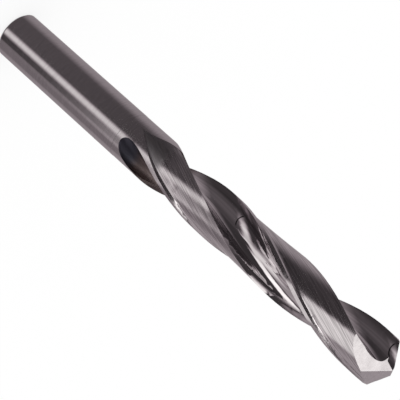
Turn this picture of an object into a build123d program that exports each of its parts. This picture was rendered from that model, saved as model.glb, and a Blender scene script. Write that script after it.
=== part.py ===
"""Solid carbide stub drill: two right-hand flutes, a split 118 degree point, a plain shank.

The drill is one ground rod. It stands on the flat end of its shank with the point up, and its
lips lie nearly along X. Lengths are in millimetres and angles in degrees. Each grinding cut is
made as the solid that its wheel removes, for the lip on the +X side, then again half a turn on.
"""
import os
from math import asin, atan2, ceil, cos, degrees, radians, sin, sqrt, tan

from build123d import *

# Driving dimensions of the rod
DIAMETER = 10.0
LENGTH = 102.0
SHANK_LENGTH = 33.8
SHANK_CHAMFER = 0.5
BACK_TAPER = 0.03

# Flutes: their helix, their section, and the wheel's run-out at the shank
PITCH = 77.3
WEB = 2.8
WEB_TOUCH = 53.0
FLUTE_ARC = 90.0
HEEL_FACET = 1.3
HEEL_FACET_LEAN = 8.0
FLUTE_LENGTH = 64.5
FLUTE_WHEEL = 22.0
FLUTE_LIFT = 4.2
FLUTE_LIFT_ANGLE = 45.0
WHEEL_ARC = 57.0
WHEEL_MARK_LENGTH = 67.3
WHEEL_MARK_RADIUS = 9.0
WHEEL_MARK_ANGLE = 19.0
WHEEL_MARK_GAP = 0.15

# Clearance ground on each land behind its margin
MARGIN = 0.8
STEP_WIDTH = 0.35
STEP_DEPTH = 0.55
LAND_DEPTH = 0.48
HEEL_DEPTH = 0.12
CLEARANCE_LENGTH = 68.0
CLEARANCE_WHEEL = 42.0
CLEARANCE_LIFT = 2.1
CLEARANCE_LIFT_ANGLE = -88.0

# Point: flank facets, then the notches that thin the web and split the chisel edge
POINT_ANGLE = 118.0
FLANK_RELIEF = 27.0
LIP_INSET = 1.0
CHISEL = 0.4
NOTCH_SLOPE = 59.5
NOTCH_TILT = 16.0

# Sizes that follow from the driving dimensions
RADIUS = DIAMETER / 2
TWIST = 360 / PITCH
LAND_ARC = 180 - FLUTE_ARC
MARGIN_ARC = degrees(MARGIN / RADIUS)
STEP_ARC = MARGIN_ARC + degrees(STEP_WIDTH / RADIUS)
STEP_HEADING = degrees(atan2(STEP_WIDTH, STEP_DEPTH)) - MARGIN_ARC
LIP_SLOPE = 1 / tan(radians(POINT_ANGLE / 2))
FLANK_SLOPE = tan(radians(FLANK_RELIEF))
CORNER = (sqrt(RADIUS**2 - (WEB / 2) ** 2), WEB / 2)
CORNER_ANGLE = degrees(asin(WEB / DIAMETER))
CORNER_Z = LENGTH - CORNER[0] * LIP_SLOPE + CORNER[1] * FLANK_SLOPE
OVERRUN = 1.5
OUTSIDE = 1.7 * RADIUS
STATION_TURN = 10.0


def polar(radius, angle):
    """Point at a radius and an angle in the plane of a section."""
    return (radius * cos(radians(angle)), radius * sin(radians(angle)))


def section_plane(z, direction=0.0, lift=0.0):
    """Transverse plane at a height, turned so that the helix's leading edge is on its X axis.

    A lift moves the plane outwards, along a direction in the section.
    """
    turn = CORNER_ANGLE + TWIST * (z - CORNER_Z)
    return Plane(
        origin=(*polar(lift, turn + direction), z),
        x_dir=(*polar(1, turn), 0),
        z_dir=(0, 0, 1),
    )


def run_out_length(wheel, lift):
    """Length in which a wheel of this radius rises by this lift."""
    return sqrt(2 * wheel * lift - lift**2)


def run_out_planes(end, wheel, lift, direction, gap=0.0):
    """Planes of a section that rises out of its cut along the wheel's radius, down to its end.

    A gap is what the section is lifted by already where it starts to rise.
    """
    length = run_out_length(wheel, lift)
    count = ceil(length * TWIST / STATION_TURN)
    travels = [length * i / count for i in range(count + 1)]
    return [
        section_plane(end + length - travel, direction, gap + wheel - sqrt(wheel**2 - travel**2))
        for travel in travels
    ]


# Corners of the flute's section, where the leading edge is on the X axis
leading_edge = (RADIUS, 0)
web_touch = polar(WEB / 2, WEB_TOUCH)
along_web = polar(1, WEB_TOUCH + 90)
heel = polar(RADIUS - HEEL_DEPTH, FLUTE_ARC)
facet_heading = FLUTE_ARC + HEEL_FACET_LEAN
facet_run = polar(HEEL_FACET, facet_heading)
ridge = (heel[0] - facet_run[0], heel[1] - facet_run[1])

# Corners of the clearance's section, behind the margin of the same leading edge
step_foot = polar(RADIUS - STEP_DEPTH, -STEP_ARC)
land_middle = polar(RADIUS - LAND_DEPTH, -(STEP_ARC + LAND_ARC) / 2)
land_heel = polar(RADIUS - HEEL_DEPTH, -LAND_ARC)


def flute_section(plane):
    """Rake face, rounded bottom and heel facet of one flute, closed outside the rod."""
    with BuildSketch(plane) as section:
        with BuildLine():
            rake = TangentArc(web_touch, leading_edge, tangent=(-along_web[0], -along_web[1]))
            TangentArc(web_touch, ridge, tangent=along_web)
            facet = PolarLine(ridge, HEEL_FACET + OVERRUN, facet_heading)
            rim = PolarLine(leading_edge, OVERRUN, direction=rake % 1)
            Polyline(rim @ 1, polar(OUTSIDE, FLUTE_ARC / 2), facet @ 1)
        make_face()
    return section.sketch


def wheel_section(plane):
    """Rake face and narrow round bottom of the wheel itself, closed outside the rod."""
    with BuildSketch(plane) as section:
        with BuildLine():
            rake = TangentArc(web_touch, leading_edge, tangent=(-along_web[0], -along_web[1]))
            back = TangentArc(web_touch, polar(RADIUS, WHEEL_ARC), tangent=along_web)
            rim = PolarLine(leading_edge, OVERRUN, direction=rake % 1)
            behind = PolarLine(back @ 1, OVERRUN, direction=back % 1)
            Polyline(rim @ 1, polar(OUTSIDE, WHEEL_ARC / 2), behind @ 1)
        make_face()
    return section.sketch


def clearance_section(plane):
    """Step behind the margin and lowered back of one land, closed outside the rod."""
    with BuildSketch(plane) as section:
        with BuildLine():
            land = ThreePointArc(step_foot, land_middle, land_heel)
            step = PolarLine(step_foot, STEP_DEPTH + OVERRUN, STEP_HEADING)
            behind = PolarLine(land @ 1, OVERRUN, direction=land % 1)
            Polyline(
                step @ 1,
                polar(OUTSIDE, -LAND_ARC / 3),
                polar(OUTSIDE, -LAND_ARC),
                behind @ 1,
            )
        make_face()
    return section.sketch


# Blank: a ground shank, then a body that is widest at the point and tapers back to a fine ring
with BuildPart() as rod:
    with BuildSketch(Plane.YZ):
        Polygon(
            (0, 0),
            (RADIUS - SHANK_CHAMFER, 0),
            (RADIUS, SHANK_CHAMFER),
            (RADIUS, SHANK_LENGTH),
            (RADIUS - BACK_TAPER, SHANK_LENGTH + BACK_TAPER),
            (RADIUS, LENGTH),
            (0, LENGTH),
            align=None,
        )
    revolve(axis=Axis.Z)

# Flute cut: swept along the helix from the run-out to beyond the point
flute_end = LENGTH - FLUTE_LENGTH
flute_start = flute_end + run_out_length(FLUTE_WHEEL, FLUTE_LIFT)
with BuildPart() as flute_cut:
    with BuildLine():
        flute_path = Helix(PITCH, LENGTH + OVERRUN - flute_start, 1, center=(0, 0, flute_start))
    sweep(flute_section(section_plane(flute_start)), path=flute_path, is_frenet=True)
with BuildPart() as flute_run_out:
    for plane in run_out_planes(flute_end, FLUTE_WHEEL, FLUTE_LIFT, FLUTE_LIFT_ANGLE):
        add(flute_section(plane))
    loft()

# Wheel mark: the wheel's own narrow groove, which runs on past the flute to a blunt end
mark_end = LENGTH - WHEEL_MARK_LENGTH
mark_start = mark_end + run_out_length(WHEEL_MARK_RADIUS, FLUTE_LIFT)
with BuildPart() as wheel_groove:
    with BuildLine():
        groove_path = Helix(PITCH, flute_start + OVERRUN - mark_start, 1, center=(0, 0, mark_start))
    groove_plane = section_plane(mark_start, WHEEL_MARK_ANGLE, WHEEL_MARK_GAP)
    sweep(wheel_section(groove_plane), path=groove_path, is_frenet=True)
with BuildPart() as wheel_mark:
    for plane in run_out_planes(
        mark_end, WHEEL_MARK_RADIUS, FLUTE_LIFT, WHEEL_MARK_ANGLE, WHEEL_MARK_GAP
    ):
        add(wheel_section(plane))
    loft()

# Clearance cut: the same, with its own wheel
clearance_end = LENGTH - CLEARANCE_LENGTH
clearance_start = clearance_end + run_out_length(CLEARANCE_WHEEL, CLEARANCE_LIFT)
with BuildPart() as clearance_cut:
    with BuildLine():
        clearance_path = Helix(
            PITCH, LENGTH + OVERRUN - clearance_start, 1, center=(0, 0, clearance_start)
        )
    sweep(clearance_section(section_plane(clearance_start)), path=clearance_path, is_frenet=True)
with BuildPart() as clearance_run_out:
    for plane in run_out_planes(
        clearance_end, CLEARANCE_WHEEL, CLEARANCE_LIFT, CLEARANCE_LIFT_ANGLE
    ):
        add(clearance_section(plane))
    loft()

# Notch cut: its floor backs off the far land, its walls thin the web and split the chisel edge
chisel_angle = degrees(atan2(LIP_SLOPE, FLANK_SLOPE))
chisel_end = polar(CHISEL / 2, chisel_angle)
lip_end = (LIP_INSET * FLANK_SLOPE / LIP_SLOPE, LIP_INSET)
with BuildPart() as notch_cut:
    with BuildSketch(Plane.XY.offset(LENGTH - DIAMETER)):
        with BuildLine():
            Polyline(
                chisel_end,
                lip_end,
                CORNER,
                (2 * RADIUS, CORNER[1]),
                (2 * RADIUS, 2 * RADIUS),
                (-2 * RADIUS, 2 * RADIUS),
                (-2 * RADIUS, chisel_end[1]),
                close=True,
            )
        make_face()
    extrude(amount=1.2 * DIAMETER)
    floor = Plane(
        origin=(*chisel_end, LENGTH),
        z_dir=(tan(radians(NOTCH_TILT)), tan(radians(NOTCH_SLOPE)), 1),
    )
    split(bisect_by=floor, keep=Keep.TOP)

# The drill: flutes, clearances, flanks and notches ground into the rod
with BuildPart() as stub_drill:
    add(rod.part)
    with PolarLocations(0, 2):
        for cut in (flute_cut, flute_run_out, wheel_groove, wheel_mark):
            add(cut.part, mode=Mode.SUBTRACT)
        for cut in (clearance_cut, clearance_run_out):
            add(cut.part, mode=Mode.SUBTRACT)
    for side in (1, -1):
        flank = Plane(origin=(0, 0, LENGTH), z_dir=(side * LIP_SLOPE, -side * FLANK_SLOPE, 1))
        split(bisect_by=flank, keep=Keep.BOTTOM)
    with PolarLocations(0, 2):
        add(notch_cut.part, mode=Mode.SUBTRACT)

stub_drill.part.label = "stub_drill"

os.makedirs("parts", exist_ok=True)
export_step(stub_drill.part, "parts/stub_drill.step")
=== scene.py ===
"""Looks of the carbide stub drill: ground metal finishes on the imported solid, and a studio for it."""

from math import atan2, cos, hypot, pi, radians, sin

import bmesh
import bpy
import numpy as np
from mathutils import Matrix, Vector


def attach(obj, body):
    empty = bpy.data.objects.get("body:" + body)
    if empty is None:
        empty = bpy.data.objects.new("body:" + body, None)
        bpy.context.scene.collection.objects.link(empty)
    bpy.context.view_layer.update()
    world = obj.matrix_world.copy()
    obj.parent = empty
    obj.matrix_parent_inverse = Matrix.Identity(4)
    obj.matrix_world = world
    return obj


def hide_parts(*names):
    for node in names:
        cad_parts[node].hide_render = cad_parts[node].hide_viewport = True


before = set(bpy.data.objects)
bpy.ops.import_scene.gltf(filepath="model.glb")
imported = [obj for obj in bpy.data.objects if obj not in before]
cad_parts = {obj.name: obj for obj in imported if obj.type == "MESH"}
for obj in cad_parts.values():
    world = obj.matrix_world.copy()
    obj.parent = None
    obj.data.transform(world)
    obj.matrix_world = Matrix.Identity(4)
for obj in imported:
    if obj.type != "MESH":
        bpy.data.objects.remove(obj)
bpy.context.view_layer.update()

bl_info = {
    "name": "Carbide Stub Drill",
    "version": (1, 0, 0),
    "blender": (4, 5, 0),
    "location": "View3D > Sidebar > Stub Drill",
    "description": "Finishes a ground carbide stub drill and sets its studio",
    "category": "Add Mesh",
}

MM = 0.001
NODE = "stub_drill"
BODY = "root"
SURFACES = ("shank", "margin", "land", "flute", "point")

# Of each surface: windings with the flutes, lines per metre along X and Y and along Z, roughness at
# the two ends, anisotropy and its turn, height of the lines, and how much their tone varies
GRINDS = {
    "shank": (0, 500, 9000, 0.115, 0.135, 0.35, 0.25, 0.0003, 0.08),
    "margin": (0, 500, 9000, 0.13, 0.18, 0.35, 0.25, 0.0003, 0.10),
    "land": (1, 5600, 150, 0.11, 0.20, 0.5, -0.06, 0.0030, 0.35),
    "flute": (1, 1500, 15, 0.02, 0.06, 0.1, -0.06, 0.0120, 0.22),
    "point": (0, 1500, 3600, 0.10, 0.18, 0.2, 0.25, 0.0003, 0.07),
}

# Scale beside the lines and detail of each noise in a grind, and where its values mostly lie
NOISES = {"Lines": (1.0, 1.5), "Clouds": (0.25, 2.0)}
NOISE_RANGE = (0.3, 0.7)

# Painted shade at the run-outs, full towards the shank: in the flutes painted shade in their run-outs,
# on the lands a painted dark reflection; heights at which it begins to fade and ends, how full it
# is, and its colours from the shank's side to the point's
# Colour of the painted dark reflection on the lands' run-outs
LAND_PAINTED_DARK_REFLECTION = (0.27, 0.26, 0.27)
RUNOUT_PAINTED_SHADES = {
    "flute": (45.5 * MM, 49.5 * MM, 0.97, (0.125, 0.13, 0.165), (0.22, 0.175, 0.17)),
    "land": (43.4 * MM, 45.8 * MM, 0.80, LAND_PAINTED_DARK_REFLECTION, LAND_PAINTED_DARK_REFLECTION),
}

# Heights between which the painted shade turns from its first colour to its second
PAINTED_SHADE_TURN = (37.5 * MM, 39.5 * MM)
# Roughness of the metal where the shade is painted, which dulls its highlights there
PAINTED_SHADE_ROUGHNESS = 0.5

# Dark scuffs on one flute, each part of a ring: the ring's centre and radius, the scuff's middle and
# reach, and its width, in millimetres
SCUFFS = (
    ((-1.9, -1.1, 63.5), 1.6, (-2.0, -1.1, 61.9), 1.5, 0.34),
    ((-3.2, -0.8, 100.9), 1.95, (-2.6, -0.8, 99.15), 1.6, 0.36),
)
SCUFF_COLOUR = (0.03, 0.027, 0.03)

# Share of a scuff's reach where it is at its fullest, where its mask folds back so that both edges
# fade, and how dense it is before it is capped
SCUFF_CORE = 0.7
SCUFF_FOLD = 0.5
SCUFF_DENSITY = 3

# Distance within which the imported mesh's loose corners are merged
MERGE_DISTANCE = 0.0005 * MM

# Smallest upward part of a point facet's normal, and smallest outward part of a land's
POINT_TILT = 0.42
ROUND_TILT = 0.4

# Directions beyond a margin's middle at which the flute touches the web, and up to which it reaches
WEB_TOUCH = radians(57.6)
HEEL = radians(94.6)

# What a radian counts for beside a millimetre of radius along the unwound section, the step in which
# the section is sampled, and how far into its face a corner is taken to lie
RADIAN_PLACE = 2
SECTION_STEP = 0.1
CORNER_INSET = 0.1

# Share of plain white in the floor that the camera sees, and the floor's sides
PAPER_WHITE = 0.8
FLOOR_SIDES = 96

# Soft boxes and cards round the drill, each over those before it: direction clockwise from the
# camera, elevation, width, height and softness of its edges, in degrees, and level
STUDIO_CARDS = {
    "paper behind": (175, -12, 170, 70, 60, 0.38),
    "paper far behind": (180, -15, 30, 30, 20, 0.75),
    "table in front": (20, -36, 120, 24, 14, 0.11),
    "grey card low on the left": (268, -32, 50, 26, 10, 0.22),
    "grey card on the left": (280, 0, 80, 36, 20, 0.45),
    "box low on the left": (314, -17, 70, 14, 12, 0.95),
    "low strip beside the camera": (338, -31, 24, 20, 18, 0.90),
    "box beside the camera": (350, 2, 34, 24, 10, 1.50),
    "strip above the camera": (12, 24, 40, 6, 6, 1.30),
    "box high in front": (8, 46, 24, 22, 6, 1.35),
    "box high behind": (212, 45, 35, 30, 10, 0.47),
    "ceiling": (0, 90, 360, 40, 20, 0.45),
}

# Level of the dark room between them
ROOM_LEVEL = 0.05

# Turns in the degrees that the cards are given in
HALF_TURN = 180
FULL_TURN = 360

# Colours of dim and bright light, and the levels between which one turns into the other
DIM_TINT = (1, 0.875, 0.927)
BRIGHT_TINT = (1, 0.985, 0.963)
TINT_RANGE = (0.25, 1.0)

# Width of the camera's sensor, in millimetres
SENSOR_WIDTH = 36


class StubDrillFinish(bpy.types.PropertyGroup):
    """Colours and grinding of the carbide."""

    carbide: bpy.props.FloatVectorProperty(
        name="Carbide",
        description="Colour of the ground metal",
        subtype="COLOR",
        size=3,
        min=0,
        max=1,
        default=(0.64, 0.61, 0.625),
    )
    lead: bpy.props.FloatProperty(
        name="Lead",
        description="Height of one full turn of the flutes",
        subtype="DISTANCE",
        default=77.3 * MM,
    )
    edge_direction: bpy.props.FloatProperty(
        name="Edge Direction",
        description="Where the helix of a margin's middle would start on the floor",
        subtype="ANGLE",
        default=radians(86.7),
    )
    sweep_start: bpy.props.FloatProperty(
        name="Sweep Start",
        description="Height above which the flutes and lands keep their full section",
        subtype="DISTANCE",
        default=50.5 * MM,
    )
    sweep_end: bpy.props.FloatProperty(
        name="Sweep End",
        description="Height above which facets tilted upwards belong to the point",
        subtype="DISTANCE",
        default=88.0 * MM,
    )
    shank_length: bpy.props.FloatProperty(
        name="Shank Length",
        description="Height of the ring where the ground body begins",
        subtype="DISTANCE",
        default=33.8 * MM,
    )
    body_radius: bpy.props.FloatProperty(
        name="Body Radius",
        description="Faces that stay outside this radius are round ground ones",
        subtype="DISTANCE",
        default=4.96 * MM,
    )
    crease_angle: bpy.props.FloatProperty(
        name="Crease Angle",
        description="Edges sharper than this stay crisp",
        subtype="ANGLE",
        default=radians(18),
    )


class StubDrillStudio(bpy.types.PropertyGroup):
    """Camera, floor and light of the photo's studio."""

    camera_distance: bpy.props.FloatProperty(
        name="Camera Distance",
        description="From the camera to the point it looks at",
        subtype="DISTANCE",
        default=280.4 * MM,
    )
    camera_azimuth: bpy.props.FloatProperty(
        name="Camera Azimuth",
        description="Direction of the camera seen from the drill",
        subtype="ANGLE",
        default=radians(-93.04),
    )
    camera_elevation: bpy.props.FloatProperty(
        name="Camera Elevation",
        description="Height of the camera above the floor's plane",
        subtype="ANGLE",
        default=radians(22.01),
    )
    camera_roll: bpy.props.FloatProperty(
        name="Camera Roll",
        description="Turn of the camera about its own view axis",
        subtype="ANGLE",
        default=radians(131.93),
    )
    camera_aim: bpy.props.FloatVectorProperty(
        name="Camera Aim",
        description="Point that the camera looks at",
        subtype="TRANSLATION",
        size=3,
        default=(0.17 * MM, -0.01 * MM, 53.4 * MM),
    )
    camera_lens: bpy.props.FloatProperty(
        name="Camera Lens",
        description="Focal length for a sensor 36 mm wide",
        default=135.0,
    )
    floor_radius: bpy.props.FloatProperty(
        name="Floor Radius",
        description="Size of the round floor",
        subtype="DISTANCE",
        default=3.0,
    )


def feed(tree, source, socket):
    """Link a socket from another one, or give it a plain value."""
    if isinstance(source, bpy.types.NodeSocket):
        tree.links.new(source, socket)
    else:
        socket.default_value = source


def calculate(tree, operation, *values, clamp=False):
    """Result of a Math node, from sockets or plain values."""
    node = tree.nodes.new("ShaderNodeMath")
    node.operation = operation
    node.use_clamp = clamp
    for value, socket in zip(values, node.inputs):
        feed(tree, value, socket)
    return node.outputs[0]


def map_range(tree, value, source, target=(0, 1), interpolation="LINEAR"):
    """Value taken from one range to another, and held at its ends."""
    node = tree.nodes.new("ShaderNodeMapRange")
    node.interpolation_type = interpolation
    for name, number in zip(("From Min", "From Max", "To Min", "To Max"), (*source, *target)):
        node.inputs[name].default_value = number
    tree.links.new(value, node.inputs["Value"])
    return node.outputs[0]


def mix(tree, share, first, second, data_type="RGBA", blend_type="MIX"):
    """Colour or value between two others, by a share."""
    node = tree.nodes.new("ShaderNodeMix")
    node.data_type = data_type
    node.blend_type = blend_type
    for name, source in (("Factor", share), ("A", first), ("B", second)):
        feed(tree, source, node.inputs[name])
    return node.outputs["Result"]


def mix_shaders(tree, share, first, second):
    """Shader between two others, by a share."""
    node = tree.nodes.new("ShaderNodeMixShader")
    for source, socket in zip((share, first, second), node.inputs):
        tree.links.new(source, socket)
    return node.outputs[0]


def place_on_drill(tree):
    """Place on the drill, in metres."""
    return tree.nodes.new("ShaderNodeTexCoord").outputs["Object"]


def height_on_drill(tree):
    """Height above the shank's end, in metres."""
    parts = tree.nodes.new("ShaderNodeSeparateXYZ")
    tree.links.new(place_on_drill(tree), parts.inputs[0])
    return parts.outputs["Z"]


def grinding_group():
    """Shared node group: lines left by a grinding wheel, which may wind round the drill, and clouds."""
    group = bpy.data.node_groups.new("grinding", "ShaderNodeTree")
    for name in ("Twist", "Across", "Along"):
        group.interface.new_socket(name, in_out="INPUT", socket_type="NodeSocketFloat")
    for name in NOISES:
        group.interface.new_socket(name, in_out="OUTPUT", socket_type="NodeSocketFloat")
    inputs = group.nodes.new("NodeGroupInput")
    outputs = group.nodes.new("NodeGroupOutput")
    unwound = group.nodes.new("ShaderNodeVectorRotate")
    unwound.rotation_type = "Z_AXIS"
    turn = calculate(group, "MULTIPLY", height_on_drill(group), inputs.outputs["Twist"])
    group.links.new(place_on_drill(group), unwound.inputs["Vector"])
    group.links.new(turn, unwound.inputs["Angle"])
    density = group.nodes.new("ShaderNodeCombineXYZ")
    for axis, name in (("X", "Across"), ("Y", "Across"), ("Z", "Along")):
        group.links.new(inputs.outputs[name], density.inputs[axis])
    stretched = group.nodes.new("ShaderNodeVectorMath")
    stretched.operation = "MULTIPLY"
    group.links.new(unwound.outputs[0], stretched.inputs[0])
    group.links.new(density.outputs[0], stretched.inputs[1])
    for name, (scale, detail) in NOISES.items():
        noise = group.nodes.new("ShaderNodeTexNoise")
        noise.inputs["Scale"].default_value = scale
        noise.inputs["Detail"].default_value = detail
        group.links.new(stretched.outputs[0], noise.inputs["Vector"])
        group.links.new(noise.outputs["Fac"], outputs.inputs[name])
    return group


def paint_runout_shade(tree, fading, ended, fullness, first, second):
    """Mask and colour of the painted shade at the run-outs: painted shade in the flutes, a painted dark
    reflection on the lands.
    """
    height = height_on_drill(tree)
    mask = map_range(tree, height, (fading, ended), (fullness, 0), "SMOOTHSTEP")
    turned = map_range(tree, height, PAINTED_SHADE_TURN, interpolation="SMOOTHSTEP")
    return mask, mix(tree, turned, (*first, 1), (*second, 1))


def way_out(tree, point, inner, outer):
    """Share of the way out between two distances from a point, all given in millimetres."""
    away = tree.nodes.new("ShaderNodeVectorMath")
    away.operation = "DISTANCE"
    away.inputs[1].default_value = Vector(point) * MM
    tree.links.new(place_on_drill(tree), away.inputs[0])
    return map_range(tree, away.outputs["Value"], (inner * MM, outer * MM))


def scuff(tree, centre, radius, middle, reach, width):
    """Mask of one scuff: the ring's line, as far as the scuff reaches from its middle."""
    across = way_out(tree, centre, radius - width, radius)
    ring = calculate(tree, "PINGPONG", across, SCUFF_FOLD)
    reached = calculate(tree, "SUBTRACT", 1, way_out(tree, middle, SCUFF_CORE * reach, reach))
    mask = calculate(tree, "MULTIPLY", ring, reached)
    return calculate(tree, "MULTIPLY", mask, SCUFF_DENSITY, clamp=True)


def ground_metal(surface, finish, group):
    """Ground carbide with the lines of one surface's wheel, and on some surfaces scuffs and painted
    shade at the run-outs.
    """
    winding, across, along, smooth, rough, anisotropy, lay, relief, contrast = GRINDS[surface]
    material = bpy.data.materials.new(f"ground_{surface}")
    material.use_nodes = True
    tree = material.node_tree
    metal = tree.nodes["Principled BSDF"]
    metal.inputs["Metallic"].default_value = 1
    metal.inputs["Anisotropic"].default_value = anisotropy
    metal.inputs["Anisotropic Rotation"].default_value = lay
    tangent = tree.nodes.new("ShaderNodeTangent")
    tangent.direction_type = "RADIAL"
    tangent.axis = "Z"
    tree.links.new(tangent.outputs[0], metal.inputs["Tangent"])
    grinding = tree.nodes.new("ShaderNodeGroup")
    grinding.node_tree = group
    grinding.inputs["Twist"].default_value = -winding * 2 * pi / finish.lead
    grinding.inputs["Across"].default_value = across
    grinding.inputs["Along"].default_value = along
    bump = tree.nodes.new("ShaderNodeBump")
    bump.inputs["Strength"].default_value = 1
    bump.inputs["Distance"].default_value = relief * MM
    tree.links.new(grinding.outputs["Lines"], bump.inputs["Height"])
    tree.links.new(bump.outputs[0], metal.inputs["Normal"])
    dark, pale = [
        (*[tone * value for value in finish.carbide], 1) for tone in (1 - contrast, 1 + contrast)
    ]
    colour = mix(tree, map_range(tree, grinding.outputs["Lines"], NOISE_RANGE), dark, pale)
    roughness = map_range(tree, grinding.outputs["Clouds"], NOISE_RANGE, (smooth, rough))
    for mark in SCUFFS if surface == "flute" else ():
        colour = mix(tree, scuff(tree, *mark), colour, (*SCUFF_COLOUR, 1))
    # Painted shade at the run-outs: a darker colour and rougher metal, fading out towards the point
    if surface in RUNOUT_PAINTED_SHADES:
        mask, painted_shade_colour = paint_runout_shade(tree, *RUNOUT_PAINTED_SHADES[surface])
        colour = mix(tree, mask, colour, painted_shade_colour)
        roughness = mix(tree, mask, roughness, PAINTED_SHADE_ROUGHNESS, data_type="FLOAT")
    tree.links.new(colour, metal.inputs["Base Color"])
    tree.links.new(roughness, metal.inputs["Roughness"])
    return material


def edge_turn(height, finish):
    """Direction of the helix of a margin's middle at a height."""
    return 2 * pi * height / finish.lead + finish.edge_direction


def surface_of(face, finish):
    """Name of the ground surface that a face belongs to."""
    middle = face.calc_center_median()
    radius = hypot(middle.x, middle.y)
    outwards = (middle.x * face.normal.x + middle.y * face.normal.y) / radius
    beyond_edge = atan2(middle.y, middle.x) - edge_turn(middle.z, finish)
    if middle.z < finish.shank_length:
        return "shank"
    if face.normal.z > POINT_TILT and middle.z > finish.sweep_end:
        return "point"
    if min(hypot(vertex.co.x, vertex.co.y) for vertex in face.verts) > finish.body_radius:
        return "margin"
    if outwards < ROUND_TILT or beyond_edge % pi < HEEL:
        return "flute"
    return "land"


def along_section(points, finish):
    """How far along the section points lie with the helix unwound, and the turns that unwind them."""
    turn = edge_turn(points[:, 2], finish)
    cosines = np.cos(turn)
    sines = np.sin(turn)
    across = cosines * points[:, 0] + sines * points[:, 1]
    beyond = cosines * points[:, 1] - sines * points[:, 0]
    half = np.where(beyond < 0, -1, 1)
    angle = np.arctan2(half * beyond, half * across)
    side = np.where(angle < WEB_TOUCH, -1, 1)
    place = RADIAN_PLACE * angle + side * np.hypot(across, beyond) / MM
    return place, half * cosines, half * sines


def section_normals(faces, centres, finish):
    """Places along the unwound section, and the faces' mean normal at each of them."""
    facing = np.array([face.area * face.normal for face in faces])
    place, cosines, sines = along_section(centres, finish)
    steps = ((place - place.min()) / SECTION_STEP).astype(int)
    used = np.unique(steps)
    across = cosines * facing[:, 0] + sines * facing[:, 1]
    beyond = cosines * facing[:, 1] - sines * facing[:, 0]
    count = np.bincount(steps)[used]
    places, *parts = [
        np.bincount(steps, weight)[used] for weight in (place, across, beyond, facing[:, 2])
    ]
    length = np.sqrt(sum(part**2 for part in parts))
    return places / count, [part / length for part in parts]


def smooth_along_helix(mesh, finish):
    """Give the swept surfaces the same normal all along each line of the helix."""
    corners = np.array([vertex.co for vertex in mesh.vertices])
    normals = np.array([corner.vector for corner in mesh.corner_normals])
    for surface in ("land", "flute"):
        index = SURFACES.index(surface)
        faces = [
            face
            for face in mesh.polygons
            if face.material_index == index and face.center.z > finish.sweep_start
        ]
        centres = np.array([face.center for face in faces])
        places, parts = section_normals(faces, centres, finish)
        loops = [
            (loop, corner, row)
            for row, face in enumerate(faces)
            for loop, corner in zip(face.loop_indices, face.vertices)
            if corners[corner][2] > finish.sweep_start
        ]
        loop, corner, row = np.array(loops).T
        inset = (1 - CORNER_INSET) * corners[corner] + CORNER_INSET * centres[row]
        place, _, _ = along_section(inset, finish)
        _, cosines, sines = along_section(corners[corner], finish)
        across, beyond, upwards = [np.interp(place, places, part) for part in parts]
        swept = np.stack(
            (cosines * across - sines * beyond, sines * across + cosines * beyond, upwards), 1
        )
        normals[loop] = swept / np.linalg.norm(swept, axis=1)[:, None]
    mesh.normals_split_custom_set(normals)


class STUBDRILL_OT_drill(bpy.types.Operator):
    """Give the drill its ground surfaces"""

    bl_idname = "stub_drill.drill"
    bl_label = "Drill"

    def execute(self, context):
        finish = context.scene.stub_drill_finish
        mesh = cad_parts[NODE].data.copy()
        mesh.name = "ground_drill"
        mesh.materials.clear()
        group = grinding_group()
        for surface in SURFACES:
            mesh.materials.append(ground_metal(surface, finish, group))
        solid = bmesh.new()
        solid.from_mesh(mesh)
        bmesh.ops.remove_doubles(solid, verts=solid.verts, dist=MERGE_DISTANCE)
        for face in solid.faces:
            face.smooth = True
            face.material_index = SURFACES.index(surface_of(face, finish))
        for edge in solid.edges:
            sides = edge.link_faces
            joined = len(sides) == 2 and edge.calc_face_angle() < finish.crease_angle
            edge.smooth = joined and sides[0].material_index == sides[1].material_index
        solid.to_mesh(mesh)
        solid.free()
        smooth_along_helix(mesh, finish)
        piece = bpy.data.objects.new("ground_drill", mesh)
        context.scene.collection.objects.link(piece)
        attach(piece, BODY)
        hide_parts(NODE)
        return {"FINISHED"}


class STUBDRILL_OT_stage(bpy.types.Operator):
    """Set up the floor, the studio's light and the camera"""

    bl_idname = "stub_drill.stage"
    bl_label = "Stage"

    def execute(self, context):
        studio = context.scene.stub_drill_studio
        build_floor(context, studio)
        build_world(context, studio)
        build_camera(context, studio)
        context.scene.view_settings.view_transform = "Standard"
        return {"FINISHED"}


def white_paper():
    """Paper that the camera sees nearly white, so that the drill's shadow on it is faint."""
    material = bpy.data.materials.new("floor_paper")
    material.use_nodes = True
    tree = material.node_tree
    paper = tree.nodes["Principled BSDF"]
    paper.inputs["Base Color"].default_value = (1, 1, 1, 1)
    paper.inputs["Roughness"].default_value = 1
    paper.inputs["Specular IOR Level"].default_value = 0
    path = tree.nodes.new("ShaderNodeLightPath")
    seen = calculate(tree, "MULTIPLY", path.outputs["Is Camera Ray"], PAPER_WHITE)
    white = tree.nodes.new("ShaderNodeEmission")
    shader = mix_shaders(tree, seen, paper.outputs[0], white.outputs[0])
    tree.links.new(shader, tree.nodes["Material Output"].inputs["Surface"])
    return material


def build_floor(context, studio):
    """Round floor under the shank's end."""
    bpy.ops.mesh.primitive_circle_add(
        vertices=FLOOR_SIDES, radius=studio.floor_radius, fill_type="NGON"
    )
    floor = context.object
    floor.name = "floor"
    floor.data.materials.append(white_paper())
    floor.visible_glossy = False
    floor.visible_shadow = False


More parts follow.
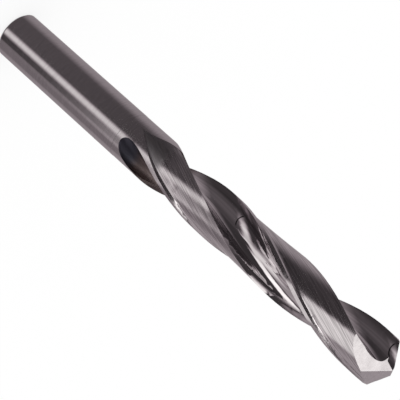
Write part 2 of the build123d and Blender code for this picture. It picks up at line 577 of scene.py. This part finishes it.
def add_card(tree, around, upwards, light, card):
    """The light with one box or card in it."""
    direction, elevation, width, height, softness, level = card
    inside = []
    for angle, middle, size in ((around, direction, width), (upwards, elevation, height)):
        offset = calculate(tree, "SUBTRACT", angle, middle)
        away = calculate(tree, "PINGPONG", offset, HALF_TURN)
        edge = ((size - softness) / 2, (size + softness) / 2)
        inside.append(map_range(tree, away, edge, (1, 0), "SMOOTHSTEP"))
    return mix(tree, calculate(tree, "MULTIPLY", *inside), light, (level, level, level, 1))


def add_tint(tree, light):
    """The light, mauve grey where it is dim and warm white where it is bright."""
    lit = map_range(tree, light, TINT_RANGE)
    tint = mix(tree, lit, (*DIM_TINT, 1), (*BRIGHT_TINT, 1))
    return mix(tree, 1, light, tint, blend_type="MULTIPLY")


def background(tree, colour):
    """Shader of light that comes from all round."""
    node = tree.nodes.new("ShaderNodeBackground")
    feed(tree, colour, node.inputs["Color"])
    return node.outputs[0]


def build_world(context, studio):
    """Studio for the metal to reflect, and plain white for all else."""
    world = bpy.data.worlds.new("studio")
    context.scene.world = world
    world.use_nodes = True
    tree = world.node_tree
    tree.nodes.clear()
    direction = tree.nodes.new("ShaderNodeTexCoord")
    facing = tree.nodes.new("ShaderNodeVectorRotate")
    facing.rotation_type = "Z_AXIS"
    facing.inputs["Angle"].default_value = -studio.camera_azimuth - pi / 2
    tree.links.new(direction.outputs["Generated"], facing.inputs["Vector"])
    parts = tree.nodes.new("ShaderNodeSeparateXYZ")
    tree.links.new(facing.outputs[0], parts.inputs[0])
    azimuth = calculate(tree, "ARCTAN2", parts.outputs["X"], parts.outputs["Y"])
    around = map_range(tree, azimuth, (-pi, pi), (0, FULL_TURN))
    upwards = calculate(tree, "DEGREES", calculate(tree, "ARCSINE", parts.outputs["Z"]))
    light = (ROOM_LEVEL, ROOM_LEVEL, ROOM_LEVEL, 1)
    for card in STUDIO_CARDS.values():
        light = add_card(tree, around, upwards, light, card)
    reflected = background(tree, add_tint(tree, light))
    white = background(tree, (1, 1, 1, 1))
    path = tree.nodes.new("ShaderNodeLightPath")
    shader = mix_shaders(tree, path.outputs["Is Glossy Ray"], white, reflected)
    output = tree.nodes.new("ShaderNodeOutputWorld")
    tree.links.new(shader, output.inputs["Surface"])
    world.cycles.sampling_method = "NONE"


def build_camera(context, studio):
    """Camera at the photo's angle."""
    data = bpy.data.cameras.new("photo_camera")
    data.sensor_width = SENSOR_WIDTH
    data.lens = studio.camera_lens
    camera = bpy.data.objects.new("photo_camera", data)
    context.scene.collection.objects.link(camera)
    elevation = studio.camera_elevation
    azimuth = studio.camera_azimuth
    outwards = Vector(
        (cos(elevation) * cos(azimuth), cos(elevation) * sin(azimuth), sin(elevation))
    )
    place = Vector(studio.camera_aim) + studio.camera_distance * outwards
    level = outwards.to_track_quat("Z", "Y").to_matrix().to_4x4()
    roll = Matrix.Rotation(studio.camera_roll, 4, "Z")
    camera.matrix_world = Matrix.Translation(place) @ level @ roll
    context.scene.camera = camera


class STUBDRILL_PT_panel(bpy.types.Panel):
    """Sidebar with the drill's operators and settings"""

    bl_label = "Stub Drill"
    bl_idname = "STUBDRILL_PT_panel"
    bl_space_type = "VIEW_3D"
    bl_region_type = "UI"
    bl_category = "Stub Drill"

    def draw(self, context):
        layout = self.layout
        for operator in OPERATORS:
            layout.operator(operator.bl_idname)
        for group in (context.scene.stub_drill_finish, context.scene.stub_drill_studio):
            for name in group.bl_rna.properties.keys():
                if name not in ("rna_type", "name"):
                    layout.prop(group, name)


OPERATORS = (STUBDRILL_OT_drill, STUBDRILL_OT_stage)
CLASSES = (StubDrillFinish, StubDrillStudio, *OPERATORS, STUBDRILL_PT_panel)


def register():
    """Add the classes and their settings to the scene."""
    for item in CLASSES:
        bpy.utils.register_class(item)
    bpy.types.Scene.stub_drill_finish = bpy.props.PointerProperty(type=StubDrillFinish)
    bpy.types.Scene.stub_drill_studio = bpy.props.PointerProperty(type=StubDrillStudio)


def unregister():
    """Take the classes and their settings away."""
    del bpy.types.Scene.stub_drill_studio
    del bpy.types.Scene.stub_drill_finish
    for item in reversed(CLASSES):
        bpy.utils.unregister_class(item)


def main():
    """Finish the drill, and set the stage."""
    register()
    bpy.ops.stub_drill.drill()
    bpy.ops.stub_drill.stage()


if __name__ == "__main__":
    main()
